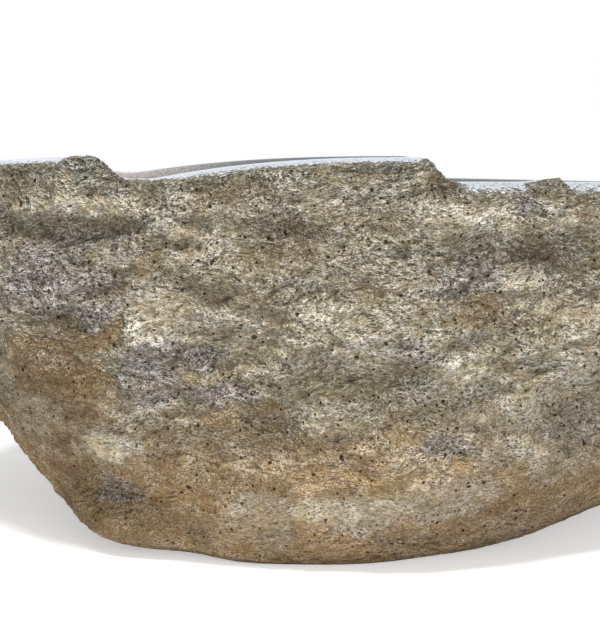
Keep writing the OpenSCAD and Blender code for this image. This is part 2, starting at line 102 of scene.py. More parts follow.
# Smaller ledges and hollows, written the same way
LEDGES = [
    [226, 88, 7, 2.6, 1.3], [230, 83, 8, 2.6, -1.7], [218, 92, 4, 3.5, -1.1], [234, 88, 4, 2.4, 0.9],
    [238, 82, 4.5, 2.2, 1.1], [241, 79, 5, 2.2, -1.0], [245, 76, 5, 2.2, 1.1], [253, 91, 8, 3.6, -1.1],
    [259, 81, 7, 4.5, -1.9], [264, 86, 5, 2.4, 1.2], [288, 86, 8, 2.6, 1.6], [296, 87, 3, 2.4, -1.0],
    [298, 78, 6, 2.4, -2.0], [304, 84, 5, 2.4, 1.1], [283, 92, 3, 4, -1.1], [297, 70, 5.5, 2.4, 1.4],
    [288, 69, 4, 4, -1.0], [233, 68, 3.5, 2.4, -1.1], [227, 60, 5, 2.6, -1.1], [238, 58, 3.2, 7, 1.2],
    [245, 64, 6, 3, 1.0], [249, 67, 4, 2.4, -0.9], [244, 51, 7, 2.6, -1.4], [240, 46, 5, 2.2, 0.8],
    [252, 46, 4, 2.2, -0.9], [271, 50, 7, 2.2, -1.3], [268, 57, 6, 3.5, 1.1], [233, 31, 3.5, 4.5, 1.3],
    [228, 17, 6, 4, -1.0], [294, 61, 4.5, 2.2, -1.1], [293, 46, 4, 2.2, -1.0], [285, 52, 4, 2.8, 1.1],
    [257, 36, 5, 4, -0.9], [267, 28, 6, 3.5, -1.0], [274, 17, 7, 4, 0.9], [291, 37, 7, 2.4, -1.0],
    [306, 66, 4, 2.4, -1.1], [212, 74, 5, 3, -1.3], [335, 70, 8, 3, 1.5], [350, 62, 7, 3, -1.6],
    [16, 55, 8, 3, 1.6], [40, 72, 8, 3, -1.5], [70, 48, 8, 3, 1.5], [98, 66, 7, 3, -1.6],
    [125, 52, 8, 4, 1.5], [150, 76, 8, 3, -1.5], [172, 55, 8, 3, 1.5], [194, 68, 7, 3, -1.5],
]


def ease(low, high, x):
    t = np.clip((x - low) / (high - low), 0, 1)
    return t * t * (3 - 2 * t)


def cos_deg(a):
    return np.cos(np.radians(a))


def sin_deg(a):
    return np.sin(np.radians(a))


def around(az, by_side):
    """A value that goes from one side's to the next side's as az goes round."""
    c, s = cos_deg(az), sin_deg(az)
    along = np.where(c > 0, by_side["right"], by_side["left"])
    across = np.where(s > 0, by_side["back"], by_side["front"])
    return along * c * c + across * s * s


def oval(az, inset):
    """Radius of the squared oval whose reach is less by inset than the boulder's."""
    c, s = cos_deg(az), sin_deg(az)
    a = np.where(c > 0, REACH["right"], REACH["left"]) - inset
    b = np.where(s > 0, REACH["back"], REACH["front"]) - inset
    return ((np.abs(c) / a) ** OUTLINE_POWER + (np.abs(s) / b) ** OUTLINE_POWER) ** (-1 / OUTLINE_POWER)


def belly_radius(az):
    return oval(az, 0) * (1 + sum(high * sin_deg(count * az + shift) for high, count, shift in OUTLINE_WAVES))


def spread(places, az, z):
    """Each place's share at an azimuth and a height, from 1 at its middle to 0 outside."""
    for where, height, wide, high, amount in places:
        turn = ((az - where + 540) % 360 - 180) / wide
        rise = (100 * z / RIM_H - height) / high
        yield amount, np.exp(-turn ** 2 - rise ** 2)


def bumps_at(bumps, az, z):
    return RIM_H / 100 * sum(depth * share for depth, share in spread(bumps, az, z))


def cleft(az, z):
    turn = 300 * z / RIM_H
    return CLEFT_DEPTH * sum(share * sin_deg(count * az + up * turn + shift)
                             for share, count, up, shift in CLEFTS)


def chance(i, j):
    """A number from 0 to 1 for each corner of a lattice. The numbers in it only scatter the corners."""
    v = 4375.85 * sin_deg(i * 127.1 + j * 311.7 + 17)
    return v - np.floor(v)


def lattice(u, v, turns):
    i, j = np.floor(u), np.floor(v)
    s, t = ease(0, 1, u - i), ease(0, 1, v - j)
    here, beyond = i % turns, (i + 1) % turns
    low = chance(here, j) * (1 - s) + chance(beyond, j) * s
    high = chance(here, j + 1) * (1 - s) + chance(beyond, j + 1) * s
    return low * (1 - t) + high * t - 0.5


def fracture(az, z):
    """Unevenness of the split stone, in layers that rise a little to the right."""
    level = 300 * z / RIM_H - LAYER_DIP * cos_deg(az)
    # The cells sway a little as they rise, and the layers as they go round
    u, v = az / 360 + 0.004 * sin_deg(5 * level), level + 9 * sin_deg(6 * az)
    return FRACTURE_DEPTH * sum(share * lattice(cells * (u + 1), v / high + shift, cells)
                                for share, cells, high, shift in LAYERS)


def steps_at(y):
    """How far back a place is, from 0 to 1, and where the left and right steps lie there."""
    back = (y + REACH["front"]) / (REACH["front"] + REACH["back"])
    return back, -LEFT_STEP_X - LEFT_STEP_SKEW * back, RIGHT_STEP_X + RIGHT_STEP_SKEW * back


def rim_z(x, y):
    """Height of the rim's inner edge: a high left block, a slope that climbs to the right, a low lip."""
    back, left_x, right_x = steps_at(y)
    climb = np.clip((x - left_x - SLOPE_LEAD) / (right_x - left_x - SLOPE_LEAD - SLOPE_LEVEL), 0, 1)
    slope = RIM_H - VALLEY_DROP * (1 - climb) ** SLOPE_CURVE
    lip = RIM_H - LIP_DROP - LIP_FALL * back * (1 + np.clip((x - right_x) / LIP_TAPER, 0, 1))
    high = RIM_H - BLOCK_FALL / 100 * np.clip(left_x - x, 0, 150)
    block = high + (slope - high) * ease(left_x - LEFT_STEP_RUN, left_x + LEFT_STEP_RUN, x)
    knob_w = np.where(x < KNOB_X, KNOB_SIDES["left"], KNOB_SIDES["right"])
    knob = KNOB_H * np.exp(-((x - KNOB_X) / knob_w) ** 2) * (1 - ease(0, 0.25, back))
    step = ease(right_x - RIGHT_STEP_RUN, right_x + RIGHT_STEP_RUN, x)
    return block + (lip - block) * step + knob - BACK_FALL * back


def fall_at(x, y):
    """How far the rim falls outward: not at all in the left step's notch, most on the spill lip."""
    back, left_x, right_x = steps_at(y)
    foot = left_x + SLOPE_LEAD
    notch = ease(left_x - LEFT_STEP_RUN, left_x + LEFT_STEP_RUN, x)
    notch = notch * (1 - ease(foot - NOTCH_ENDS[0], foot + NOTCH_ENDS[1], x))
    return RIM_FALL * (1 - notch) + LIP_SPILL * ease(right_x - RIGHT_STEP_RUN, right_x + RIGHT_STEP_RUN, x)


# Where the rim's outer edge is left rough: how far each place reaches left and right of its middle
ROUGH_LEFT_STEP, ROUGH_RIGHT_STEP, ROUGH_KNOB = (-32, 14), (-7, 17), (-20, 9)
ROUGH_BLEND = 5


def bare(x, y):
    """Share of the rim's outer edge left rough up to its full height: on both steps and the knob."""
    back, left_x, right_x = steps_at(y)

    def stretch(middle, ends):
        low, high = middle + ends[0], middle + ends[1]
        begun = ease(low - ROUGH_BLEND, low + ROUGH_BLEND, x)
        return begun * (1 - ease(high - ROUGH_BLEND, high + ROUGH_BLEND, x))

    steps = np.maximum(stretch(left_x, ROUGH_LEFT_STEP), stretch(right_x, ROUGH_RIGHT_STEP))
    return np.maximum(steps, 0.6 * stretch(KNOB_X, ROUGH_KNOB) * (1 - ease(0.1, 0.3, back)))


def ragged(az, pitch, seed):
    """Noise from -1 to 1 that follows the edge of the rim, one value every pitch degrees."""
    count = round(360 / pitch)
    values = np.random.default_rng(seed).uniform(-1, 1, count)
    place = (az % 360) / 360 * count
    low = np.floor(place).astype(int)
    blend = ease(0, 1, place - low)
    return values[low % count] * (1 - blend) + values[(low + 1) % count] * blend


# The broken edge's crumbs and chips: how far they reach, every how many degrees, and the seed
CRUMBS = ((0.9, 1.9, 6), (0.7, 0.85, 7))
CHIPS = ((1.8, 2.4, 3), (1.4, 0.9, 4))


def wall(az, t):
    """A point on the outside: t is 0 at the base's edge and 1 at the rim's."""
    r0 = belly_radius(az)
    lean = around(az, FLANK_LEAN)
    top_r = r0 * (1 - lean)
    x, y = top_r * cos_deg(az), top_r * sin_deg(az)
    rough_top = bare(x, y)
    crumbs = sum(reach * ragged(az, pitch, seed) for reach, pitch, seed in CRUMBS)
    top = rim_z(x, y) - (fall_at(x, y) + BEVEL_DROP) * (1 - rough_top) + crumbs * (1 - 0.4 * rough_top)
    z = t * top
    low = np.minimum(1, z / BELLY_H)
    high = np.maximum(0, (z - BELLY_H) / (top - BELLY_H))
    share = around(az, {side: BASE[side] / REACH[side] for side in REACH})
    curve = 1 - (1 - low) ** around(az, FLANK_SWELL)
    flank = share + (1 - share) * curve ** (1 / around(az, FLANK_BOW))
    r = r0 * flank * (1 - lean * high ** 1.8) + bumps_at(SWELLINGS, az, z)
    # The base's edge is worn even
    r += (cleft(az, z) + fracture(az, z) + bumps_at(LEDGES, az, z)) * ease(0, 0.1, t)
    return np.stack([r * cos_deg(az), r * sin_deg(az), z], -1)


def rim(az, k):
    """The polished rim: k is 0 at its broken outer edge and 1 at its inner one."""
    edge = wall(az, np.ones_like(az))
    chips = sum(reach * ragged(az, pitch, seed) for reach, pitch, seed in CHIPS)
    # Now and then a bigger flake has come off
    chips = chips + 3.5 * np.clip(ragged(az, 4.0, 5) - 0.45, 0, 1)
    outer = np.hypot(edge[:, 0], edge[:, 1]) - BEVEL_W - chips
    inner = oval(az, RIM_W) + MOUTH_ROUND
    r = outer + (inner - outer) * k
    x, y = r * cos_deg(az), r * sin_deg(az)
    fall = fall_at(x, y) * (1 - k) ** 1.5 * (1 - bare(x, y))
    return np.stack([x, y, rim_z(x, y) - fall], -1)


def bevel(az, k):
    """The broken bevel: k is 0 at the top of the wall and 1 at the edge of the polish."""
    return wall(az, np.ones_like(az)) * (1 - k) + rim(az, 0) * k


def turn_in(az, k):
    """The round-over from the rim into the bowl: k is 0 on the rim and 1 in the bowl."""
    r = oval(az, RIM_W) + MOUTH_ROUND * (1 - np.sin(k * math.pi / 2))
    x, y = r * cos_deg(az), r * sin_deg(az)
    return np.stack([x, y, rim_z(x, y) - MOUTH_ROUND * (1 - np.cos(k * math.pi / 2))], -1)


def bowl(az, k):
    """The bowl's wall: k is 1 at its mouth and 0 at the landing."""
    mouth = oval(az, RIM_W)
    r = LANDING_R + (mouth - LANDING_R) * k
    top = rim_z(mouth * cos_deg(az), mouth * sin_deg(az)) - MOUTH_ROUND
    return np.stack([r * cos_deg(az), r * sin_deg(az), FLOOR_H + (top - FLOOR_H) * k ** BOWL_FULLNESS], -1)


# Columns stand closer together on the front, where the split face has its finest relief. The
# polished stone needs a third as many, so a strip of wider faces joins the two.
FINE_FROM, FINE_TO = 203, 314
FINE_COUNT, PLAIN_COUNT = 264, 297
azimuths = np.concatenate([np.linspace(FINE_FROM, FINE_TO, FINE_COUNT, endpoint=False),
                           np.linspace(FINE_TO, FINE_FROM + 360, PLAIN_COUNT, endpoint=False)])
few = azimuths[::3]
# The rows of points, from the base up and over into the bowl: how many, or how far across each lies
WALL_ROWS, BOWL_ROWS = 150, 26
BEVEL_ROWS, TURN_ROWS = (0.3, 0.65), (0.25, 0.5, 0.75)
RIM_ROWS = [(azimuths, k) for k in (0, 0.06, 0.13, 0.22, 0.35)]
RIM_ROWS += [(few, k) for k in (0.5, 0.62, 0.75, 0.9, 1)]
rows = [(wall(azimuths, np.full_like(azimuths, t)), 1.0) for t in np.linspace(0, 1, WALL_ROWS)]
rows += [(bevel(azimuths, k), 1.0) for k in BEVEL_ROWS]
# The polish is chipped along its broken edge, and further in on the spill lip
for at, k in RIM_ROWS:
    row = rim(at, k)
    x, y = row[:, 0], row[:, 1]
    chipped = 0.6 * (1 - k) ** np.where(fall_at(x, y) > RIM_FALL, 1.1, 2)
    rows.append((row, np.clip(chipped + bare(x, y) * (2.2 - 2.6 * k), 0, 1)))
rows += [(turn_in(few, k), 0.0) for k in TURN_ROWS]
rows += [(bowl(few, k), 0.0) for k in np.linspace(1, 0, BOWL_ROWS)]
edge_z = wall(azimuths, np.ones_like(azimuths))[:, 2]

points, rough_values, depths, faces, starts = [], [], [], [], []
for place, roughness in rows:
    starts.append(sum(len(p) for p in points))
    points.append(place * mm)
    rough_values.append(np.broadcast_to(roughness, len(place)))
    depths.append(np.maximum((edge_z if len(place) == len(azimuths) else edge_z[::3]) - place[:, 2], 0))
depths = np.concatenate(depths)
faces.append(list(range(len(azimuths)))[::-1])
for j in range(len(rows) - 1):
    here, there, wide, narrow = starts[j], starts[j + 1], len(points[j]), len(points[j + 1])
    if wide == narrow:
        faces += [[here + i, here + (i + 1) % wide, there + (i + 1) % wide, there + i] for i in range(wide)]
        continue
    for i in range(narrow):
        a = [here + (3 * i + n) % wide for n in range(4)]
        b, c = there + i, there + (i + 1) % narrow
        faces += [[a[0], a[1], b], [a[1], a[2], c, b], [a[2], a[3], c]]
faces.append(list(range(starts[-1], starts[-1] + len(few))))
skin = np.concatenate(points) / mm
skin_az, skin_z = np.degrees(np.arctan2(skin[:, 1], skin[:, 0])) % 360, skin[:, 2]
mesh = bpy.data.meshes.new("stone_basin_dressed")
mesh.from_pydata(np.concatenate(points).tolist(), [], faces)
boulder = bpy.data.objects.new("stone_basin_dressed", mesh)
bpy.context.scene.collection.objects.link(boulder)


def note(name, values):
    """Keeps a value for each point of the stone, for its finer relief and its finish to read."""
    mesh.attributes.new(name, "FLOAT", "POINT").data.foreach_set("value", values)


note("rough", np.concatenate(rough_values))
# The finer relief dies out towards the rim's edge and the base, which are worn
note("relief_share", (0.2 + 0.8 * ease(3, 20, depths)) * (0.3 + 0.7 * ease(0, 70, skin_z)))
note("standing", (fracture(skin_az, skin_z) + bumps_at(LEDGES, skin_az, skin_z)) * mm)


def linear(hex_colour):
    """An sRGB hex colour as linear RGBA."""
    channels = [int(hex_colour[i:i + 2], 16) / 255 for i in (1, 3, 5)]
    return [c / 12.92 if c <= 0.04045 else ((c + 0.055) / 1.055) ** 2.4 for c in channels] + [1.0]


# What the split face shows: iron stains, pale crests that are partly bleached and scoured stone and
# partly painted highlight, grey patches full of open vesicles, painted shade in the hollows and along
# the foot, and lichen by the rim. Each has its colour, how much it smooths the grain, how many pits
# it shows, and its places, as in the lists above, with a strength last.
STAINS_AND_PAINTED_LIGHT = {
    "iron": ("#6e5a3a", 0.95, 0.25, [
        [238, 75, 2.9, 2.6, 0.7], [258, 78, 5, 4, 0.45], [305, 89, 3.8, 2.4, 0.35],
        [290, 63, 6.5, 3.6, 0.35], [285, 66, 2.4, 4.6, 0.5], [298, 45, 4.5, 3.4, 0.5],
        [232, 58, 4, 4.6, 0.95], [222, 50, 8, 8.5, 1.0], [229, 45, 6.5, 7, 0.95], [219, 35, 10, 8, 0.7],
        [246, 47, 6.5, 4, 0.5], [253, 39, 8, 4, 0.75], [266, 36, 7, 5, 0.55], [226, 27, 5, 5, 0.6],
        [219, 15, 8, 8.5, 0.8], [235, 10, 12, 6, 0.6], [250, 22, 9, 4, 0.5], [281, 37, 7, 4, 0.45],
        [289, 17, 10, 6, 0.8], [308, 20, 10, 7, 0.7], [330, 30, 10, 8, 0.5], [5, 45, 8, 8, 0.5],
        [35, 25, 12, 8, 0.6], [75, 60, 8, 6, 0.4], [105, 30, 12, 9, 0.6], [140, 55, 8, 8, 0.5],
        [165, 28, 12, 8, 0.6], [190, 50, 7, 8, 0.4]]),
    # Pale crests: bleached stone, with painted highlight where light from above falls on the ridges
    "bleached_and_highlit": ("#bfb6a3", 0.0, 0.3, [
        [229, 29, 5, 5, 1.0], [248, 60, 8, 5, 0.45], [240, 62, 3.4, 8, 0.6], [270, 15, 8, 6, 0.6],
        [226, 88, 6.9, 2.1, 0.8], [220, 86, 5.4, 2, 0.5], [235, 92, 3.8, 2.5, 0.4],
        [240, 87, 5.9, 1.6, 0.6], [244, 79, 5.2, 3, 0.45], [242, 83, 2.5, 2.1, 0.4],
        [264, 82, 2.6, 2.8, 0.5], [288, 85, 8.2, 3.2, 0.75], [304, 84, 4.9, 2.1, 0.55],
        [296, 71, 4.9, 1.8, 0.7], [303, 65, 4.6, 3.5, 0.4], [285, 52, 2.8, 2.7, 0.8],
        [216, 49, 2.6, 4.1, 0.3], [239.5, 59, 2.6, 8, 0.75], [235, 42, 4.6, 4.4, 0.3],
        [244, 63, 4.9, 3.7, 0.4], [254, 57, 6.9, 6.3, 0.35], [266, 64, 4.5, 2.6, 0.6],
        [272, 56, 4.4, 4.7, 0.4], [265, 92, 3.8, 2.8, 0.45], [233, 31, 3, 4, 1.0], [254, 13, 6.5, 7.3, 0.5],
        [266, 39, 4.8, 4.9, 0.45], [274, 17, 7.5, 5.6, 0.4], [304, 29, 8, 6.5, 0.35],
        [296, 30, 8, 3.8, 0.45], [294, 45, 12, 13, 0.35], [285, 51, 4.2, 3, 0.45], [292, 41, 5, 2.8, 0.4],
        [303, 53, 4, 5, 0.35], [286, 19, 9, 6, 0.4], [325, 72, 7, 5, 0.5], [348, 50, 8, 6, 0.6],
        [20, 72, 9, 5, 0.6], [55, 40, 9, 7, 0.6], [90, 78, 9, 4, 0.6], [120, 60, 8, 6, 0.6],
        [152, 40, 9, 7, 0.5], [178, 70, 8, 6, 0.6]]),
    "vesicular": ("#89817a", 0.0, 1.0, [
        [231, 79, 4, 3.2, 0.8], [296, 87, 2, 1.5, 0.8], [288, 72, 4.5, 4.6, 0.75], [282, 71, 3, 3.5, 0.6],
        [222, 71, 6, 9, 0.9], [230, 68, 5, 8.5, 0.9], [227, 60, 4.5, 3, 1.0], [242, 53, 7, 3.2, 1.0],
        [239, 46, 5, 4.5, 0.85], [249, 45, 6, 2.6, 0.8], [257, 37, 5, 3.4, 0.5], [228, 17, 4.5, 3.5, 0.6],
        [284, 33, 4, 3.2, 0.7], [306, 35, 5.8, 7.8, 0.45], [278, 57, 2.5, 4, 0.6], [338, 60, 8, 7, 0.7],
        [12, 62, 8, 7, 0.7], [48, 66, 9, 7, 0.7], [82, 45, 9, 7, 0.7], [128, 75, 9, 6, 0.7],
        [158, 62, 8, 7, 0.7], [186, 62, 6, 6, 0.7]]),
    # Painted shade: dark brown patches in the hollows under the ledges and along the foot of the face
    "painted_shade": ("#695b46", 0.75, 0.5, [
        [230, 83, 7.9, 2.7, 0.5], [218, 92, 2.9, 3.6, 0.6], [236, 90, 4.1, 2.7, 0.35],
        [253, 91, 8.5, 4, 0.5], [259, 82, 6.8, 4.9, 0.75], [283, 92, 2, 4.7, 0.6], [298, 91, 2.8, 2, 0.6],
        [291, 80, 1.2, 1.1, 0.8], [298, 77, 5.2, 2.4, 0.85], [305, 75, 3.4, 3.1, 0.5],
        [294, 61, 3, 1.7, 0.7], [293, 47, 1.8, 1.1, 0.7], [290, 45, 2.4, 1.2, 0.6], [233, 68, 2.1, 2, 0.6],
        [226, 53, 5.4, 4.6, 0.5], [248, 66, 2.1, 2.1, 0.5], [252, 48, 2.8, 1, 0.6], [225, 60, 5, 2.2, 0.9],
        [239, 48, 3, 2.5, 0.5], [273, 72, 6.8, 4.6, 0.3], [275, 87, 4.6, 5.7, 0.3], [257, 35, 6, 5.2, 0.8],
        [207, 1, 9.1, 5.7, 0.8], [242, 7, 3.5, 3, 0.5], [282, 8, 7.9, 3.1, 0.6], [289, 66, 3, 2.5, 0.6],
        [263, 83, 4, 3, 0.5], [308, 9, 17.2, 6.5, 0.6], [292, 57, 3.1, 3.6, 0.5], [288, 64, 6, 3, 0.6],
        [292, 35, 4.1, 1.5, 0.5], [218, 31, 4.2, 11.7, 0.15], [328, 55, 6, 4, 0.6], [352, 75, 8, 4, 0.6],
        [25, 50, 7, 4, 0.6], [62, 75, 8, 4, 0.6], [100, 58, 8, 4, 0.6], [115, 10, 30, 6, 0.5],
        [30, 10, 30, 6, 0.5], [145, 80, 7, 4, 0.6], [175, 10, 20, 6, 0.6]]),
    # Pale crests: scoured stone, with painted highlight where light from above falls on them
    "scoured_and_highlit": ("#d8ccb0", 0.3, 0.3, [
        [230, 29, 3.8, 3.8, 0.9], [265, 16, 6.5, 4.2, 0.6], [218, 36, 6, 6, 0.2], [248, 82, 6, 3.5, 0.25],
        [231, 78, 2.6, 3, 0.25], [232, 89, 6.5, 2, 0.3], [262, 62, 5, 4, 0.15]]),
    "lichen": ("#65665a", 0.0, 0.2, [
        [228, 97, 3.6, 2, 0.9], [219, 98, 5.5, 1, 0.5], [233, 94, 2, 1.2, 0.6], [250, 96, 15.2, 1, 0.4],
        [274, 98, 7.9, 1, 0.6], [300, 93, 14, 1.2, 0.4], [340, 92, 16, 1.5, 0.5], [20, 91, 18, 1.5, 0.5],
        [75, 92, 20, 1.5, 0.5], [130, 97, 24, 1.5, 0.5], [180, 98, 20, 1.5, 0.5]]),
}
FRESH, EARTHY, CRUST = "#968d79", "#9e8561", "#5b5a4e"
# The heights over which the lower face turns earthy, and over which painted shade darkens the top of the
# face, in millimetres
SOIL_SPLASH, TOP_SHADE = (50, 150), (185, 250)
FACE_ROUND, FACE_HIGH, FACE_SPARE = 1700, 400, 20


def mottle(az, z, pitch, seed):
    """Noise from -1 to 1 over the face, one value every pitch millimetres or so each way."""
    across, up = round(FACE_ROUND / pitch), round(FACE_HIGH / pitch)
    values = np.random.default_rng(seed).uniform(-1, 1, (across, up + 2))
    i, j = az / 360 * across, np.clip(z, -FACE_SPARE, FACE_HIGH - FACE_SPARE) / pitch + FACE_SPARE / pitch
    low_i, low_j = np.floor(i).astype(int), np.clip(np.floor(j).astype(int), 0, up)
    di, dj = ease(0, 1, i - low_i), ease(0, 1, j - low_j)
    near = values[low_i % across, low_j] * (1 - dj) + values[low_i % across, low_j + 1] * dj
    far = values[(low_i + 1) % across, low_j] * (1 - dj) + values[(low_i + 1) % across, low_j + 1] * dj
    return near * (1 - di) + far * di


def weathering_and_painted_light(az, z, depth):
    """Mean colour, smoothness and pitting of the split face, from the lists above. Its colour holds painted
    shade and highlight too.
    """
    # The patches have torn edges
    torn_az = az + 1.2 * mottle(az, z, 14, 11) + 1.0 * mottle(az, z, 5, 12)
    torn_z = z + 4 * mottle(az, z, 14, 13) + 3.5 * mottle(az, z, 5, 14)
    low = 1 - ease(*SOIL_SPLASH, torn_z)
    colour = np.array(linear(FRESH)) + low[:, None] * (np.array(linear(EARTHY)) - linear(FRESH))
    smooth, pits = 0.5 * low, np.full(len(az), 0.3)
    for stain_and_painted_light, smoothing, pitting, places in STAINS_AND_PAINTED_LIGHT.values():
        share = np.zeros(len(az))
        for strength, spot in spread(places, torn_az, torn_z):
            share = 1 - (1 - share) * (1 - strength * ease(0.2, 0.55, spot))
        colour += (np.array(linear(stain_and_painted_light)) - colour) * share[:, None]
        smooth += (smoothing - smooth) * share
        pits += (pitting - pits) * share
    # Painted shade darkens the top of the face, where the lamp overhead lights it most, and a crust of lichen
    # lines the rim's broken edge
    colour[:, :3] *= (1 - 0.15 * ease(*TOP_SHADE, z))[:, None]
    crust = 0.8 * np.exp(-(depth / (5 + 3 * mottle(az, z, 9, 15))) ** 2) * (0.7 + 0.3 * mottle(az, z, 5, 16))
    colour += (np.array(linear(CRUST)) - colour) * crust[:, None]
    return colour, smooth * (1 - crust), pits


colour, smooth, pits = weathering_and_painted_light(skin_az, skin_z, depths)
mesh.attributes.new("stain_and_painted_light", "FLOAT_COLOR", "POINT").data.foreach_set("color", colour.ravel())
note("smoothed", smooth)
note("pitted", pits)


# Blender's names for the nodes that are used most
MATH, VECTOR_MATH, MAP_RANGE = "ShaderNodeMath", "ShaderNodeVectorMath", "ShaderNodeMapRange"
MIX, NOISE, PRINCIPLED = "ShaderNodeMix", "ShaderNodeTexNoise", "ShaderNodeBsdfPrincipled"


def add(tree, kind, inputs=(), output=0, stops=(), **settings):
    """Adds a node with its settings, its colour stops, and values or links for its inputs.

    Inputs go by name or in order. It gives one output, and the node is that output's .node.
    """
    made = tree.nodes.new(kind)
    for name, value in settings.items():
        setattr(made, name, value)
    for mark, (position, tone) in enumerate(stops):
        made.color_ramp.elements[mark].position = position
        made.color_ramp.elements[mark].color = linear(tone)
    for name, value in inputs.items() if isinstance(inputs, dict) else enumerate(inputs):
        if isinstance(value, bpy.types.NodeSocket):
            tree.links.new(value, made.inputs[name])
        else:
            made.inputs[name].default_value = value
    return made.outputs[output] if made.outputs else None


def new_material(name):
    made = bpy.data.materials.new(name)
    made.use_nodes = True
    made.node_tree.nodes.clear()
    return made, made.node_tree


# Andesite, split and weathered: a dull crystalline stone. It scatters light with no sheen, its
# crumbs catch it from above in short level streaks, and open vesicles show as dark pits. Its colour
# holds painted highlight on the crumbs and the high places, and painted shade in the low places,
# between the crumbs and in the pits.
# The layers rise to the right, and what lies along them is flatter than it is wide.
LAYER_TILT, LAYER_FLATNESS = math.radians(9), (1.0, 1.0, 1.6)


def weathered_andesite():
    made, tree = new_material("weathered_andesite")
    place = add(tree, "ShaderNodeTexCoord", output="Object")
    stain_and_painted_light = add(tree, "ShaderNodeAttribute", output="Color", attribute_name="stain_and_painted_light")
    smoothed, pitted, relief = [add(tree, "ShaderNodeAttribute", output="Fac", attribute_name=name)
                                for name in ("smoothed", "pitted", "relief")]
    # The layers wander up and down across the face, and the pits have torn outlines: noise of a
    # size pushes the places of both about, as far as a reach, in millimetres
    pushed = []
    for size, detail, reach in ((40, 0.0, 15), (2.5, 1.0, 2.2)):
        push = add(tree, NOISE, {"Vector": place, "Scale": 1 / (size * mm), "Detail": detail}, "Color")
        push = add(tree, VECTOR_MATH, [push, (0.5, 0.5, 0.5)], operation="SUBTRACT")
        push = add(tree, VECTOR_MATH, {0: push, "Scale": reach * mm}, operation="SCALE")
        pushed.append(add(tree, VECTOR_MATH, [place, push], operation="ADD"))
    bent, torn = pushed
    lie = add(tree, "ShaderNodeMapping", {"Vector": bent, "Rotation": (0, LAYER_TILT, 0),
              "Scale": LAYER_FLATNESS})
    thin = add(tree, "ShaderNodeMapping", {"Vector": lie, "Scale": (0.8, 0.8, 1.0)})
    # Each noise has its places, its size in millimetres and its detail
    blotch, streak, crumb, strand, step, zone, hue = [
        add(tree, NOISE, {"Vector": vector, "Scale": 1 / (size * mm), "Detail": detail, "Roughness": 0.6})
        for vector, size, detail in ((lie, 9, 1.0), (thin, 3, 1.0), (lie, 1.4, 0.5), (thin, 5, 2.0),
                                     (lie, 17, 1.5), (lie, 24, 2.0), (place, 19, 1.0))]
    # Crests are thin wavy lines where the crumbs stand in rows, and folds are a finger wide: the
    # split ran on in steps there
    ridges = []
    for cells, sharpness in ((strand, 11.0), (step, 7.0)):
        away = add(tree, MATH, [cells, 0.5], operation="SUBTRACT")
        away = add(tree, MATH, [away], operation="ABSOLUTE")
        ridges.append(add(tree, MATH, [away, -sharpness, 1.0], operation="MULTIPLY_ADD"))
    crest, fold = ridges
    fold = add(tree, MATH, [fold, 0.0], operation="MAXIMUM")
    # The face is crumbly and pale in some zones, and close and olive or reddish in others
    olive, reddish, cool = (0.97, 0.96, 0.83, 1.0), (1.03, 0.95, 0.88, 1.0), (1.05, 1.06, 1.08, 1.0)
    crumbly, redness = [add(tree, MAP_RANGE, {"Value": cells, "From Min": 0.40, "From Max": 0.60})
                        for cells in (zone, hue)]
    tint = olive
    for share, other in ((redness, reddish), (crumbly, cool)):
        tint = add(tree, MIX, {"Factor": share, "A": tint, "B": other}, "Result", data_type="RGBA")

    # Where it is smoothed, the folds and the crumbs are lower, and more of the grain is fine
    calm, rough, coarse, fine = [
        add(tree, MATH, [smoothed, change, start], operation="MULTIPLY_ADD")
        for change, start in ((-0.5, 1.0), (-0.7, 1.0), (-0.3, 0.5), (0.3, 0.5))]
    # Low places are dark, brown and smooth, high ones are pale, cool and rough: the colour holds painted
    # shade in the low places and painted highlight on the high ones. The relief is in metres, which is
    # why it is multiplied so much.
    tone_and_painted_light = add(tree, MATH, [blotch, 1.2, -0.6], operation="MULTIPLY_ADD")
    tone_and_painted_light = add(tree, MATH, [relief, 75.0, tone_and_painted_light], operation="MULTIPLY_ADD")
    raised = add(tree, MATH, [crumbly, 0.3, -0.15], operation="MULTIPLY_ADD")
    tone_and_painted_light = add(tree, MATH, [tone_and_painted_light, calm, raised], operation="MULTIPLY_ADD")
    broken = add(tree, MAP_RANGE, {"Value": tone_and_painted_light, "From Min": -0.6, "From Max": 0.35,
                 "To Min": 0.6, "To Max": 1.15})
    rough = add(tree, MATH, [rough, broken], operation="MULTIPLY")
    grain = add(tree, MATH, [streak, coarse], operation="MULTIPLY")
    grain = add(tree, MATH, [crumb, fine, grain], operation="MULTIPLY_ADD")
    # Open vesicles, 1 to 4 mm wide, crowded in the grey patches: the pitch of the cells that can
    # hold one, its radius as a share of the pitch, and the share of the cells that do
    hole = 0.0
    for pitch, radius, share in ((4.0, 0.25, 0.5), (10.0, 0.15, 0.6), (24.0, 0.08, 0.35)):
        cells = add(tree, "ShaderNodeTexVoronoi", {"Vector": torn, "Scale": 1 / (pitch * mm)}).node.outputs
        pick = add(tree, "ShaderNodeSeparateColor", [cells["Color"]])
        likely = add(tree, MATH, [pitted, share], operation="MULTIPLY")
        size = add(tree, MATH, [pick, likely], operation="LESS_THAN")
        size = add(tree, MATH, [size, radius], operation="MULTIPLY")
        size = add(tree, MATH, [size, cells["Distance"]], operation="SUBTRACT")
        size = add(tree, MAP_RANGE, {"Value": size, "From Min": -0.1 / pitch, "From Max": 0.16 / pitch})
        hole = add(tree, MATH, [hole, size], operation="MAXIMUM")

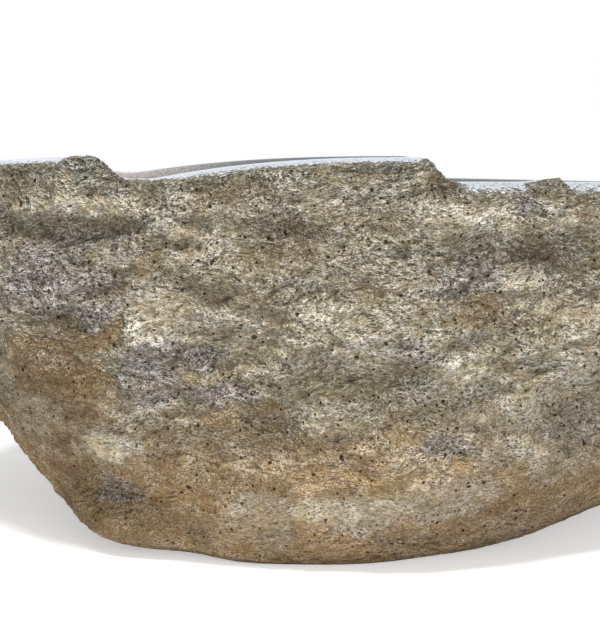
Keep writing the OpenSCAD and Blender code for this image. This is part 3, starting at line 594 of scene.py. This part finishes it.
    # How much painted highlight each place takes, from the grain and the crests; where it is low, painted
    # shade
    light = add(tree, MAP_RANGE, {"Value": grain, "From Min": 0.51, "From Max": 0.66}, clamp=False)
    line = add(tree, MATH, [crest, -0.8], operation="MAXIMUM")
    light = add(tree, MATH, [line, 0.42, light], operation="MULTIPLY_ADD")
    gain = add(tree, MATH, [crumbly, 0.5, 0.7], operation="MULTIPLY_ADD")
    for share in (rough, gain):
        light = add(tree, MATH, [light, share], operation="MULTIPLY")
    tone = add(tree, "ShaderNodeCombineXYZ", [add(tree, MATH, [base, tone_and_painted_light], operation="POWER")
                                              for base in (1.9, 2.05, 2.3)])
    stain_with_painted_light = stain_and_painted_light
    for layer in (tone, tint):
        stain_with_painted_light = add(tree, VECTOR_MATH, [stain_with_painted_light, layer], operation="MULTIPLY")
    # Pale feldspar and painted highlight on the crumbs, and brown painted shade between them and in the pits
    bright = add(tree, VECTOR_MATH, {0: stain_with_painted_light, "Scale": 1.75}, operation="SCALE")
    bright = add(tree, MIX, {"Factor": 0.62, "A": bright, "B": linear("#dddcd9")}, "Result",
                 data_type="RGBA")
    share = add(tree, MATH, [light, 0.72], operation="MULTIPLY")
    pale = add(tree, MIX, {"Factor": share, "A": stain_with_painted_light, "B": bright}, "Result", data_type="RGBA")
    gap = add(tree, MAP_RANGE, {"Value": light, "From Min": 0.1, "From Max": -1.3})
    gap = add(tree, MATH, [gap, hole], operation="MAXIMUM")
    gap_shade = add(tree, VECTOR_MATH, [pale, (0.28, 0.21, 0.14)], operation="MULTIPLY")
    with_gap_shade = add(tree, MIX, {"Factor": gap, "A": pale, "B": gap_shade}, "Result", data_type="RGBA")
    shade = add(tree, MATH, [hole, -0.5, 1.0], operation="MULTIPLY_ADD")
    with_gap_shade = add(tree, VECTOR_MATH, {0: with_gap_shade, "Scale": shade}, operation="SCALE")

    # How far each stands out, in millimetres. The pits go in.
    line = add(tree, MATH, [crest, 0.0], operation="MAXIMUM")
    heights, folds = 0.0, 0.0
    for layer, height in ((streak, 5.0), (crumb, 2.4), (line, 0.9)):
        heights = add(tree, MATH, [layer, height * mm, heights], operation="MULTIPLY_ADD")
    for layer, height in ((blotch, 4.0), (fold, 4.5)):
        folds = add(tree, MATH, [layer, height * mm, folds], operation="MULTIPLY_ADD")
    heights = add(tree, MATH, [heights, rough], operation="MULTIPLY")
    heights = add(tree, MATH, [folds, calm, heights], operation="MULTIPLY_ADD")
    heights = add(tree, MATH, [hole, -1.2 * mm, heights], operation="MULTIPLY_ADD")
    bump = add(tree, "ShaderNodeBump", {"Height": heights, "Distance": 1.0, "Strength": 1.0})
    shader = add(tree, PRINCIPLED, {"Base Color": with_gap_shade, "Roughness": 0.92,
                 "Specular IOR Level": 0.2, "Normal": bump})
    add(tree, "ShaderNodeOutputMaterial", [shader])
    return made


# The relief that splitting and weather left, finer than the solid holds: flat lumps along the
# layers, and grains at the mesh's own spacing. Sizes and heights are in millimetres.
SPLIT = {"Lump": 13, "Lump height": 11.5, "Grain": 4.5, "Grain height": 4.6}


def split_face_tree(finish):
    tree = bpy.data.node_groups.new("split_face", "GeometryNodeTree")
    tree.interface.new_socket("Stone", in_out="INPUT", socket_type="NodeSocketGeometry")
    for name in SPLIT:
        tree.interface.new_socket(name, in_out="INPUT", socket_type="NodeSocketFloat")
    tree.interface.new_socket("Stone", in_out="OUTPUT", socket_type="NodeSocketGeometry")
    given = add(tree, "NodeGroupInput").node.outputs
    place = add(tree, "GeometryNodeInputPosition")
    rough, worn, smoothed, standing = [
        add(tree, "GeometryNodeInputNamedAttribute", {"Name": name}, data_type="FLOAT")
        for name in ("rough", "relief_share", "smoothed", "standing")]
    lie = add(tree, "ShaderNodeVectorRotate", {"Vector": place, "Angle": LAYER_TILT}, rotation_type="Y_AXIS")
    lie = add(tree, VECTOR_MATH, [lie, LAYER_FLATNESS], operation="MULTIPLY")
    fade = add(tree, MAP_RANGE, {"Value": smoothed, "To Min": 1.0, "To Max": 0.35})
    kinds = []
    for name, detail, seed in (("Lump", 1.0, 2.0), ("Grain", 0.0, 3.0)):
        scale = add(tree, MATH, [1.0, given[name]], operation="DIVIDE")
        noise = add(tree, NOISE, {"Vector": lie, "Scale": scale, "W": seed, "Detail": detail,
                    "Roughness": 0.55, "Distortion": 0.4}, noise_dimensions="4D")
        centred = add(tree, MATH, [noise, -0.5], operation="ADD")
        height = add(tree, MATH, [centred, given[name + " height"]], operation="MULTIPLY")
        kinds.append(add(tree, MATH, [height, fade], operation="MULTIPLY"))
    lump, grain = kinds
    height = add(tree, MATH, [lump, worn, grain], operation="MULTIPLY_ADD")
    push = add(tree, MATH, [height, rough], operation="MULTIPLY")
    normal = add(tree, "GeometryNodeInputNormal")
    push = add(tree, VECTOR_MATH, {0: normal, "Scale": push}, operation="SCALE")
    # Nothing moves up or down at the base, which stays flat
    above = add(tree, "ShaderNodeSeparateXYZ", [place], 2)
    free = add(tree, MAP_RANGE, {"Value": above, "From Min": 0.0, "From Max": 20 * mm})
    level = add(tree, "ShaderNodeCombineXYZ", [1.0, 1.0, free])
    push = add(tree, VECTOR_MATH, [push, level], operation="MULTIPLY")
    total = add(tree, MATH, [height, standing], operation="ADD")
    noted = add(tree, "GeometryNodeStoreNamedAttribute", {"Geometry": given["Stone"], "Name": "relief",
                "Value": total}, data_type="FLOAT", domain="POINT")
    moved = add(tree, "GeometryNodeSetPosition", {"Geometry": noted, "Offset": push})
    whole = add(tree, "GeometryNodeRealizeInstances", [moved])
    dressed = add(tree, "GeometryNodeSetMaterial", {"Geometry": whole, "Material": finish})
    add(tree, "NodeGroupOutput", [dressed])
    return tree


def settle(thing):
    """Turns an object and its modifiers into a plain mesh."""
    bpy.context.view_layer.update()
    evaluated = thing.evaluated_get(bpy.context.evaluated_depsgraph_get())
    plain = bpy.data.meshes.new_from_object(evaluated)
    thing.modifiers.clear()
    thing.data = plain


weathered = weathered_andesite()
split = boulder.modifiers.new("split_face", "NODES")
split.node_group = split_face_tree(weathered)
for socket in split.node_group.interface.items_tree:
    if socket.name in SPLIT:
        split[socket.identifier] = SPLIT[socket.name] * mm
settle(boulder)

# The holes that are drilled and sawn into it: the core hole, the recess under the floor, and the
# arched channel that lets the supply out under the back.
CORE_R, RECESS_R, RECESS_DEPTH = 25, 73, 70
CHANNEL_W, CHANNEL_H, CHANNEL_PAST = 60, 52, 40
CUT = 1


def cutter(name, outline, depth, turn):
    """A closed prism: an outline in millimetres, drawn out along +Z and then turned by a function."""
    count = len(outline)
    ends = [[x, y, z] for z in (0, depth) for x, y in outline]
    sides = [[i, (i + 1) % count, count + (i + 1) % count, count + i] for i in range(count)]
    caps = [list(range(count))[::-1], list(range(count, 2 * count))]
    prism = bpy.data.meshes.new(name)
    prism.from_pydata([[v * mm for v in turn(*p)] for p in ends], [], sides + caps)
    prism.attributes.new("sawn", "FLOAT", "POINT").data.foreach_set("value", np.ones(2 * count))
    made = bpy.data.objects.new(name, prism)
    bpy.context.scene.collection.objects.link(made)
    return made


def circle(radius, count=96):
    turns = [i * math.tau / count for i in range(count)]
    return [(radius * math.cos(a), radius * math.sin(a)) for a in turns]


arch_r = CHANNEL_W / 2
arch = [(-arch_r, -CUT), (arch_r, -CUT)]
arch += [(arch_r * math.cos(a), CHANNEL_H - arch_r + arch_r * math.sin(a))
         for a in np.linspace(0, math.pi, 33)]
cutters = [
    cutter("core_hole", circle(CORE_R), FLOOR_H + 2 * CUT, lambda x, y, z: (x, y, z - CUT)),
    cutter("recess", circle(RECESS_R), RECESS_DEPTH + CUT, lambda x, y, z: (x, y, z - CUT)),
    cutter("hose_channel", arch, REACH["back"] + CHANNEL_PAST, lambda x, y, z: (-x, z, y)),
]
for tool in cutters:
    drill = boulder.modifiers.new(tool.name, "BOOLEAN")
    drill.operation = "DIFFERENCE"
    drill.solver = "MANIFOLD"
    drill.object = tool
settle(boulder)
for tool in cutters:
    bpy.data.objects.remove(tool)


# Andesite, ground and polished: the same stone with its pores closed, under a clear sealer. It is
# pinkish grey to the left and nearly black to the right, the black partly painted shade where the
# bowl's far wall lies in shade, and it mirrors the sky at a low angle.
# Chips along its broken edge show the dull stone.
PINK_UP_TO, BLACK_FROM, TINT_WANDER = -205, -70, 30
WATER_LINE = 258


def polished_andesite():
    made, tree = new_material("polished_andesite")
    place = add(tree, "ShaderNodeTexCoord", output="Object")
    rough = add(tree, "ShaderNodeAttribute", output="Fac", attribute_name="rough")
    # Crystals, crumbs, drifts of lime and clouds, each with its size in millimetres and its detail
    fleck, crumb, drift, cloud = [
        add(tree, NOISE, {"Vector": place, "Scale": 1 / (size * mm), "Detail": detail,
            "Roughness": harshness})
        for size, detail, harshness in ((1.8, 2.0, 0.6), (2.6, 1.0, 0.5), (22, 4.0, 0.5), (70, 3.0, 0.5))]
    crystals = add(tree, "ShaderNodeValToRGB", [fleck], stops=((0.36, "#6a6b6c"), (0.66, "#8f9091")))
    across, _, height = add(tree, "ShaderNodeSeparateXYZ", [place]).node.outputs
    wander = add(tree, MAP_RANGE, {"Value": cloud, "To Min": -TINT_WANDER * mm, "To Max": TINT_WANDER * mm})
    across = add(tree, MATH, [across, wander], operation="ADD")
    # Painted shade: to the right the stone darkens to nearly black, where the bowl's far wall lies in shade
    black_and_shade_share = add(tree, MAP_RANGE, {"Value": across, "From Min": PINK_UP_TO * mm,
                   "From Max": BLACK_FROM * mm}, interpolation_type="SMOOTHSTEP")
    pink, black = (1.35, 1.16, 1.08, 1.0), (0.34, 0.35, 0.37, 1.0)
    tint = add(tree, MIX, {"Factor": black_and_shade_share, "A": pink, "B": black}, "Result", data_type="RGBA")
    ground = add(tree, VECTOR_MATH, [crystals, tint], operation="MULTIPLY")
    # A painted highlight, blue-white, runs along the polish's broken edge, and the stone is dark where crumbs
    # have left it
    both = add(tree, MATH, [rough, 0.38, crumb], operation="MULTIPLY_ADD")
    chip = add(tree, MAP_RANGE, {"Value": both, "From Min": 0.66, "From Max": 0.71})
    sway = add(tree, MATH, [crumb, 0.8, -0.4], operation="MULTIPLY_ADD")
    edge = add(tree, MATH, [rough, sway], operation="ADD")
    edge_highlight = add(tree, MAP_RANGE, {"Value": edge, "From Min": 0.15, "From Max": 0.4, "To Max": 0.8})
    # Hard water leaves a thin film of lime in the bowl, and a pale line where it stands
    height = add(tree, MATH, [cloud, 4 * mm, height], operation="MULTIPLY_ADD")
    line = add(tree, MATH, [height, WATER_LINE * mm, 3 * mm], operation="COMPARE")
    under = add(tree, MAP_RANGE, {"Value": height, "From Min": WATER_LINE * mm,
                "From Max": (WATER_LINE - 2) * mm})
    drift = add(tree, MAP_RANGE, {"Value": drift, "From Min": 0.4, "From Max": 0.75,
                "To Min": 0.03, "To Max": 0.32})
    lime = add(tree, MATH, [under, line], operation="ADD")
    lime = add(tree, MATH, [lime, drift], operation="MULTIPLY", use_clamp=True)
    colour = ground
    for share, tone in ((edge_highlight, "#cdd1d6"), (chip, "#4c4d4c"), (lime, "#a9a498")):
        colour = add(tree, MIX, {"Factor": share, "A": colour, "B": linear(tone)}, "Result",
                     data_type="RGBA")
    # The chips are dull, with no sealer on them, and the lime dulls the sealer
    roughness = add(tree, MAP_RANGE, {"Value": chip, "To Min": 0.05, "To Max": 0.9})
    roughness = add(tree, MATH, [lime, 0.6, roughness], operation="MULTIPLY_ADD", use_clamp=True)
    sealed = add(tree, MATH, [1.0, chip], operation="SUBTRACT")
    clear = add(tree, MATH, [1.0, lime], operation="SUBTRACT")
    sealed = add(tree, MATH, [sealed, clear], operation="MULTIPLY")
    shader = add(tree, PRINCIPLED, {"Base Color": colour, "Roughness": roughness, "IOR": 1.6,
                 "Coat Weight": sealed, "Coat Roughness": 0.02, "Coat IOR": 1.5})
    add(tree, "ShaderNodeOutputMaterial", [shader])
    return made


# Andesite, sawn and drilled: flat pale grey, with the faint parallel scores of the saw. It is out
# of sight in use, so nobody polishes it.
def sawn_andesite():
    made, tree = new_material("sawn_andesite")
    place = add(tree, "ShaderNodeTexCoord", output="Object")
    along = add(tree, "ShaderNodeMapping", {"Vector": place, "Scale": (0.02, 1.0, 1.0)})
    fleck, score = [
        add(tree, NOISE, {"Vector": vector, "Scale": 1 / (size * mm), "Detail": detail})
        for vector, size, detail in ((place, 1.6, 2.0), (along, 2.5, 1.0))]
    both = add(tree, MATH, [fleck, score], operation="ADD")
    both = add(tree, MATH, [both, 0.5], operation="MULTIPLY")
    colour = add(tree, "ShaderNodeValToRGB", [both], stops=((0.36, "#6f6c66"), (0.62, "#a19d94")))
    bump = add(tree, "ShaderNodeBump", {"Height": score, "Distance": 0.4 * mm})
    shader = add(tree, PRINCIPLED, {"Base Color": colour, "Roughness": 0.8, "Normal": bump})
    add(tree, "ShaderNodeOutputMaterial", [shader])
    return made


def read_values(name):
    values = np.zeros(len(boulder.data.vertices))
    boulder.data.attributes[name].data.foreach_get("value", values)
    return values


WEATHERED, POLISHED, SAWN = range(3)
stone = boulder.data
stone.materials.clear()
for finish in (weathered, polished_andesite(), sawn_andesite()):
    stone.materials.append(finish)
rough_now, sawn_now = read_values("rough"), read_values("sawn")
height_now = np.array([v.co.z for v in stone.vertices])
# The edge of the polish is uneven from face to face
uneven = np.random.default_rng(8).uniform(-0.18, 0.18, len(stone.polygons))
for face in stone.polygons:
    corners = list(face.vertices)
    face.use_smooth = True
    face.material_index = WEATHERED
    if min(sawn_now[corners]) > 0.5 or max(height_now[corners]) < 0.3 * mm:
        face.material_index = SAWN
    elif rough_now[corners].mean() + uneven[face.index] < 0.5:
        face.material_index = POLISHED
stone.set_sharp_from_angle(angle=math.radians(60))
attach(boulder, "basin")
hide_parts("stone_basin")


# The fitting: a brass tank connector, elbow, standpipe and cap, turned and cast, and dulled in
# water. It is brown in its hollows, green where drops stand, and its threads have a pipe's pitch.
def dulled_brass(name, thread=None):
    """Brass. A thread is its axis, the height of that axis, its radius, start and pitch, in millimetres."""
    made, tree = new_material(name)
    place = add(tree, "ShaderNodeTexCoord", output="Object")
    cloud, drops, grit = [
        add(tree, NOISE, {"Vector": place, "Scale": 1 / (size * mm), "Detail": detail})
        for size, detail in ((14, 3.0), (5, 5.0), (0.7, 1.0))]
    colour = add(tree, "ShaderNodeValToRGB", [cloud], stops=((0.3, "#8a6c3c"), (0.66, "#bd9c5a")))
    green = add(tree, MAP_RANGE, {"Value": drops, "From Min": 0.6, "From Max": 0.72, "To Max": 0.6})
    patina = add(tree, MIX, {"Factor": green, "A": colour, "B": linear("#5d7059")}, "Result",
                 data_type="RGBA")
    metal = add(tree, MATH, [1.0, green], operation="SUBTRACT")
    polish = add(tree, MAP_RANGE, {"Value": cloud, "From Min": 0.36, "From Max": 0.64,
                 "To Min": 0.5, "To Max": 0.28})
    roughness = add(tree, MATH, [green, 0.4, polish], operation="MULTIPLY_ADD")
    heights = add(tree, MATH, [grit, 0.06 * mm], operation="MULTIPLY")
    if thread:
        axis, level, radius, start, pitch = thread
        x, y, z = add(tree, "ShaderNodeSeparateXYZ", [place]).node.outputs
        z = add(tree, MATH, [z, level * mm], operation="SUBTRACT")
        along, up = (z, y) if axis == "Z" else (y, z)
        turn = add(tree, MATH, [up, x], operation="ARCTAN2")
        turn = add(tree, MATH, [turn, math.tau], operation="DIVIDE")
        ridge = along
        for operation, *value in (("DIVIDE", pitch * mm), ("SUBTRACT", turn), ("FRACT",), ("SUBTRACT", 0.5),
                                  ("ABSOLUTE",)):
            ridge = add(tree, MATH, [ridge, *value], operation=operation)
        flat = add(tree, "ShaderNodeCombineXYZ", [x, up])
        reach = add(tree, VECTOR_MATH, [flat], "Value", operation="LENGTH")
        outside = add(tree, MATH, [reach, radius * mm, 0.4 * mm], operation="COMPARE")
        past = add(tree, MATH, [along, start * mm], operation="GREATER_THAN")
        for share in (outside, past):
            ridge = add(tree, MATH, [ridge, share], operation="MULTIPLY")
        heights = add(tree, MATH, [ridge, pitch * mm, heights], operation="MULTIPLY_ADD")
    bump = add(tree, "ShaderNodeBump", {"Height": heights, "Distance": 1.0})
    shader = add(tree, PRINCIPLED, {"Base Color": patina, "Metallic": metal,
                 "Roughness": roughness, "Normal": bump})
    add(tree, "ShaderNodeOutputMaterial", [shader])
    return made


# The seals: black rubber rings with a bloom of dust, moulded, and a red fibre washer in the elbow,
# punched from sheet. Both are dull and mottled.
def pressed_ring(name, dark, pale, size, roughness):
    made, tree = new_material(name)
    place = add(tree, "ShaderNodeTexCoord", output="Object")
    mottled = add(tree, NOISE, {"Vector": place, "Scale": 1 / (size * mm), "Detail": 5.0,
                  "Roughness": 0.65})
    colour = add(tree, "ShaderNodeValToRGB", [mottled], stops=((0.38, dark), (0.68, pale)))
    bump = add(tree, "ShaderNodeBump", {"Height": mottled, "Distance": 0.15 * mm})
    shader = add(tree, PRINCIPLED, {"Base Color": colour, "Roughness": roughness, "Normal": bump})
    add(tree, "ShaderNodeOutputMaterial", [shader])
    return made


pipe_top = max(v.co.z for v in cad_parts["standpipe"].data.vertices) / mm
plain_brass = dulled_brass("dulled_brass")
rubber = pressed_ring("moulded_rubber", "#191918", "#3b3a37", 3.0, 0.62)
finishes = {
    "tank_connector": dulled_brass("threaded_brass", ("Z", 0, 16.6, 0, 2.3)),
    "supply_elbow": dulled_brass("threaded_outlet_brass", ("Y", 19.5, 13.2, 50, 1.8)),
    "standpipe": dulled_brass("threaded_pipe_brass", ("Z", 0, 11, pipe_top - 34, 1.4)),
    "elbow_seal": pressed_ring("pressed_fibre", "#5c261c", "#8a4a38", 1.2, 0.8),
    "flange_gasket": rubber, "under_gasket": rubber, "standpipe_o_rings": rubber,
}
for node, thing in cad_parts.items():
    if node == "stone_basin":
        continue
    thing.data.materials.clear()
    thing.data.materials.append(finishes.get(node, plain_brass))

# The floor: a pale studio sweep of matt paper. It keeps the stone's shadow, and further off it
# reads white to the camera and in the polish.
FLOOR_HALF = 6.0
NEAR, FAR, NEAR_GLOW = 0.8, 2.5, 0.45
WHITE = linear("#ffffff")
floor_mesh = bpy.data.meshes.new("studio_floor")
ends = (-FLOOR_HALF, FLOOR_HALF)
floor_mesh.from_pydata([(x, y, 0.0) for y in ends for x in ends], [], [[0, 1, 3, 2]])
floor = bpy.data.objects.new("studio_floor", floor_mesh)
bpy.context.scene.collection.objects.link(floor)
paper, tree = new_material("white_paper")
matt = add(tree, "ShaderNodeBsdfDiffuse", [linear("#e9e9e9")])
rays = add(tree, "ShaderNodeLightPath").node.outputs
seen = add(tree, MATH, [rays["Is Camera Ray"], rays["Is Glossy Ray"]], operation="MAXIMUM")
spot = add(tree, "ShaderNodeTexCoord", output="Object")
reach = add(tree, VECTOR_MATH, [spot], "Value", operation="LENGTH")
far = add(tree, MAP_RANGE, {"Value": reach, "From Min": NEAR, "From Max": FAR, "To Min": NEAR_GLOW,
          "To Max": 1.0})
# Under the stone, where the hose channel lets the eye in, the paper stays dark: the middle and half
# the width of that patch each way
HIDDEN = ((0.0, 0.08), (0.06, 0.14))
spot = add(tree, "ShaderNodeSeparateXYZ", [spot]).node.outputs
hidden = 1.0
for way, (middle, half) in zip(spot, HIDDEN):
    inside = add(tree, MATH, [way, middle, half], operation="COMPARE")
    hidden = add(tree, MATH, [inside, hidden], operation="MULTIPLY")
open_air = add(tree, MATH, [1.0, hidden], operation="SUBTRACT")
lift = seen
for share in (far, open_air):
    lift = add(tree, MATH, [lift, share], operation="MULTIPLY")
glow = add(tree, "ShaderNodeEmission", {"Color": WHITE, "Strength": lift})
both = add(tree, "ShaderNodeAddShader", [matt, glow])
add(tree, "ShaderNodeOutputMaterial", [both])
floor_mesh.materials.append(paper)

# The studio: an even sky, white to the camera and a little blue in the polish, a soft lamp overhead
# in front of the stone, and a wide weak one further off at the front right.
world = bpy.data.worlds.new("studio")
bpy.context.scene.world = world
world.use_nodes = True
tree = world.node_tree
tree.nodes.clear()
rays = add(tree, "ShaderNodeLightPath").node.outputs
seen = add(tree, MATH, [rays["Is Camera Ray"], rays["Is Glossy Ray"]], operation="MAXIMUM")
shown = add(tree, MATH, [seen, rays["Is Transmission Ray"]], operation="MAXIMUM")
strength = add(tree, MAP_RANGE, {"Value": shown, "To Min": 0.42, "To Max": 1.0})
hue = add(tree, MIX, {"Factor": rays["Is Glossy Ray"], "A": WHITE, "B": linear("#eef6ff")},
          "Result", data_type="RGBA")
sky = add(tree, "ShaderNodeBackground", {"Color": hue, "Strength": strength})
add(tree, "ShaderNodeOutputWorld", [sky])


def soft_light(name, place, aim, size, watts, colour):
    lamp = bpy.data.lights.new(name, "AREA")
    lamp.shape = "DISK"
    lamp.size = size
    lamp.energy = watts
    lamp.color = linear(colour)[:3]
    made = bpy.data.objects.new(name, lamp)
    bpy.context.scene.collection.objects.link(made)
    made.location = place
    made.rotation_euler = (Vector(aim) - Vector(place)).to_track_quat("-Z", "Y").to_euler()


soft_light("overhead", (-0.15, -1.0, 2.3), (0, -0.1, 0.15), 0.6, 72, "#fffdf9")
soft_light("front_fill", (1.0, -2.5, 0.8), (0, 0, 0.15), 2.0, 30, "#f6f8ff")

# The camera stands just above the height of the rim and looks a little down.
LOOK_DOWN = 6.64
camera_data = bpy.data.cameras.new("photo_view")
camera_data.sensor_fit = "HORIZONTAL"
camera_data.sensor_width = 36
camera_data.lens = 84
camera = bpy.data.objects.new("photo_view", camera_data)
bpy.context.scene.collection.objects.link(camera)
camera.location = (-0.038, -1.210, 0.306)
camera.rotation_euler = (math.radians(90 - LOOK_DOWN), 0, 0)
bpy.context.scene.camera = camera
bpy.context.scene.view_settings.view_transform = "Standard"
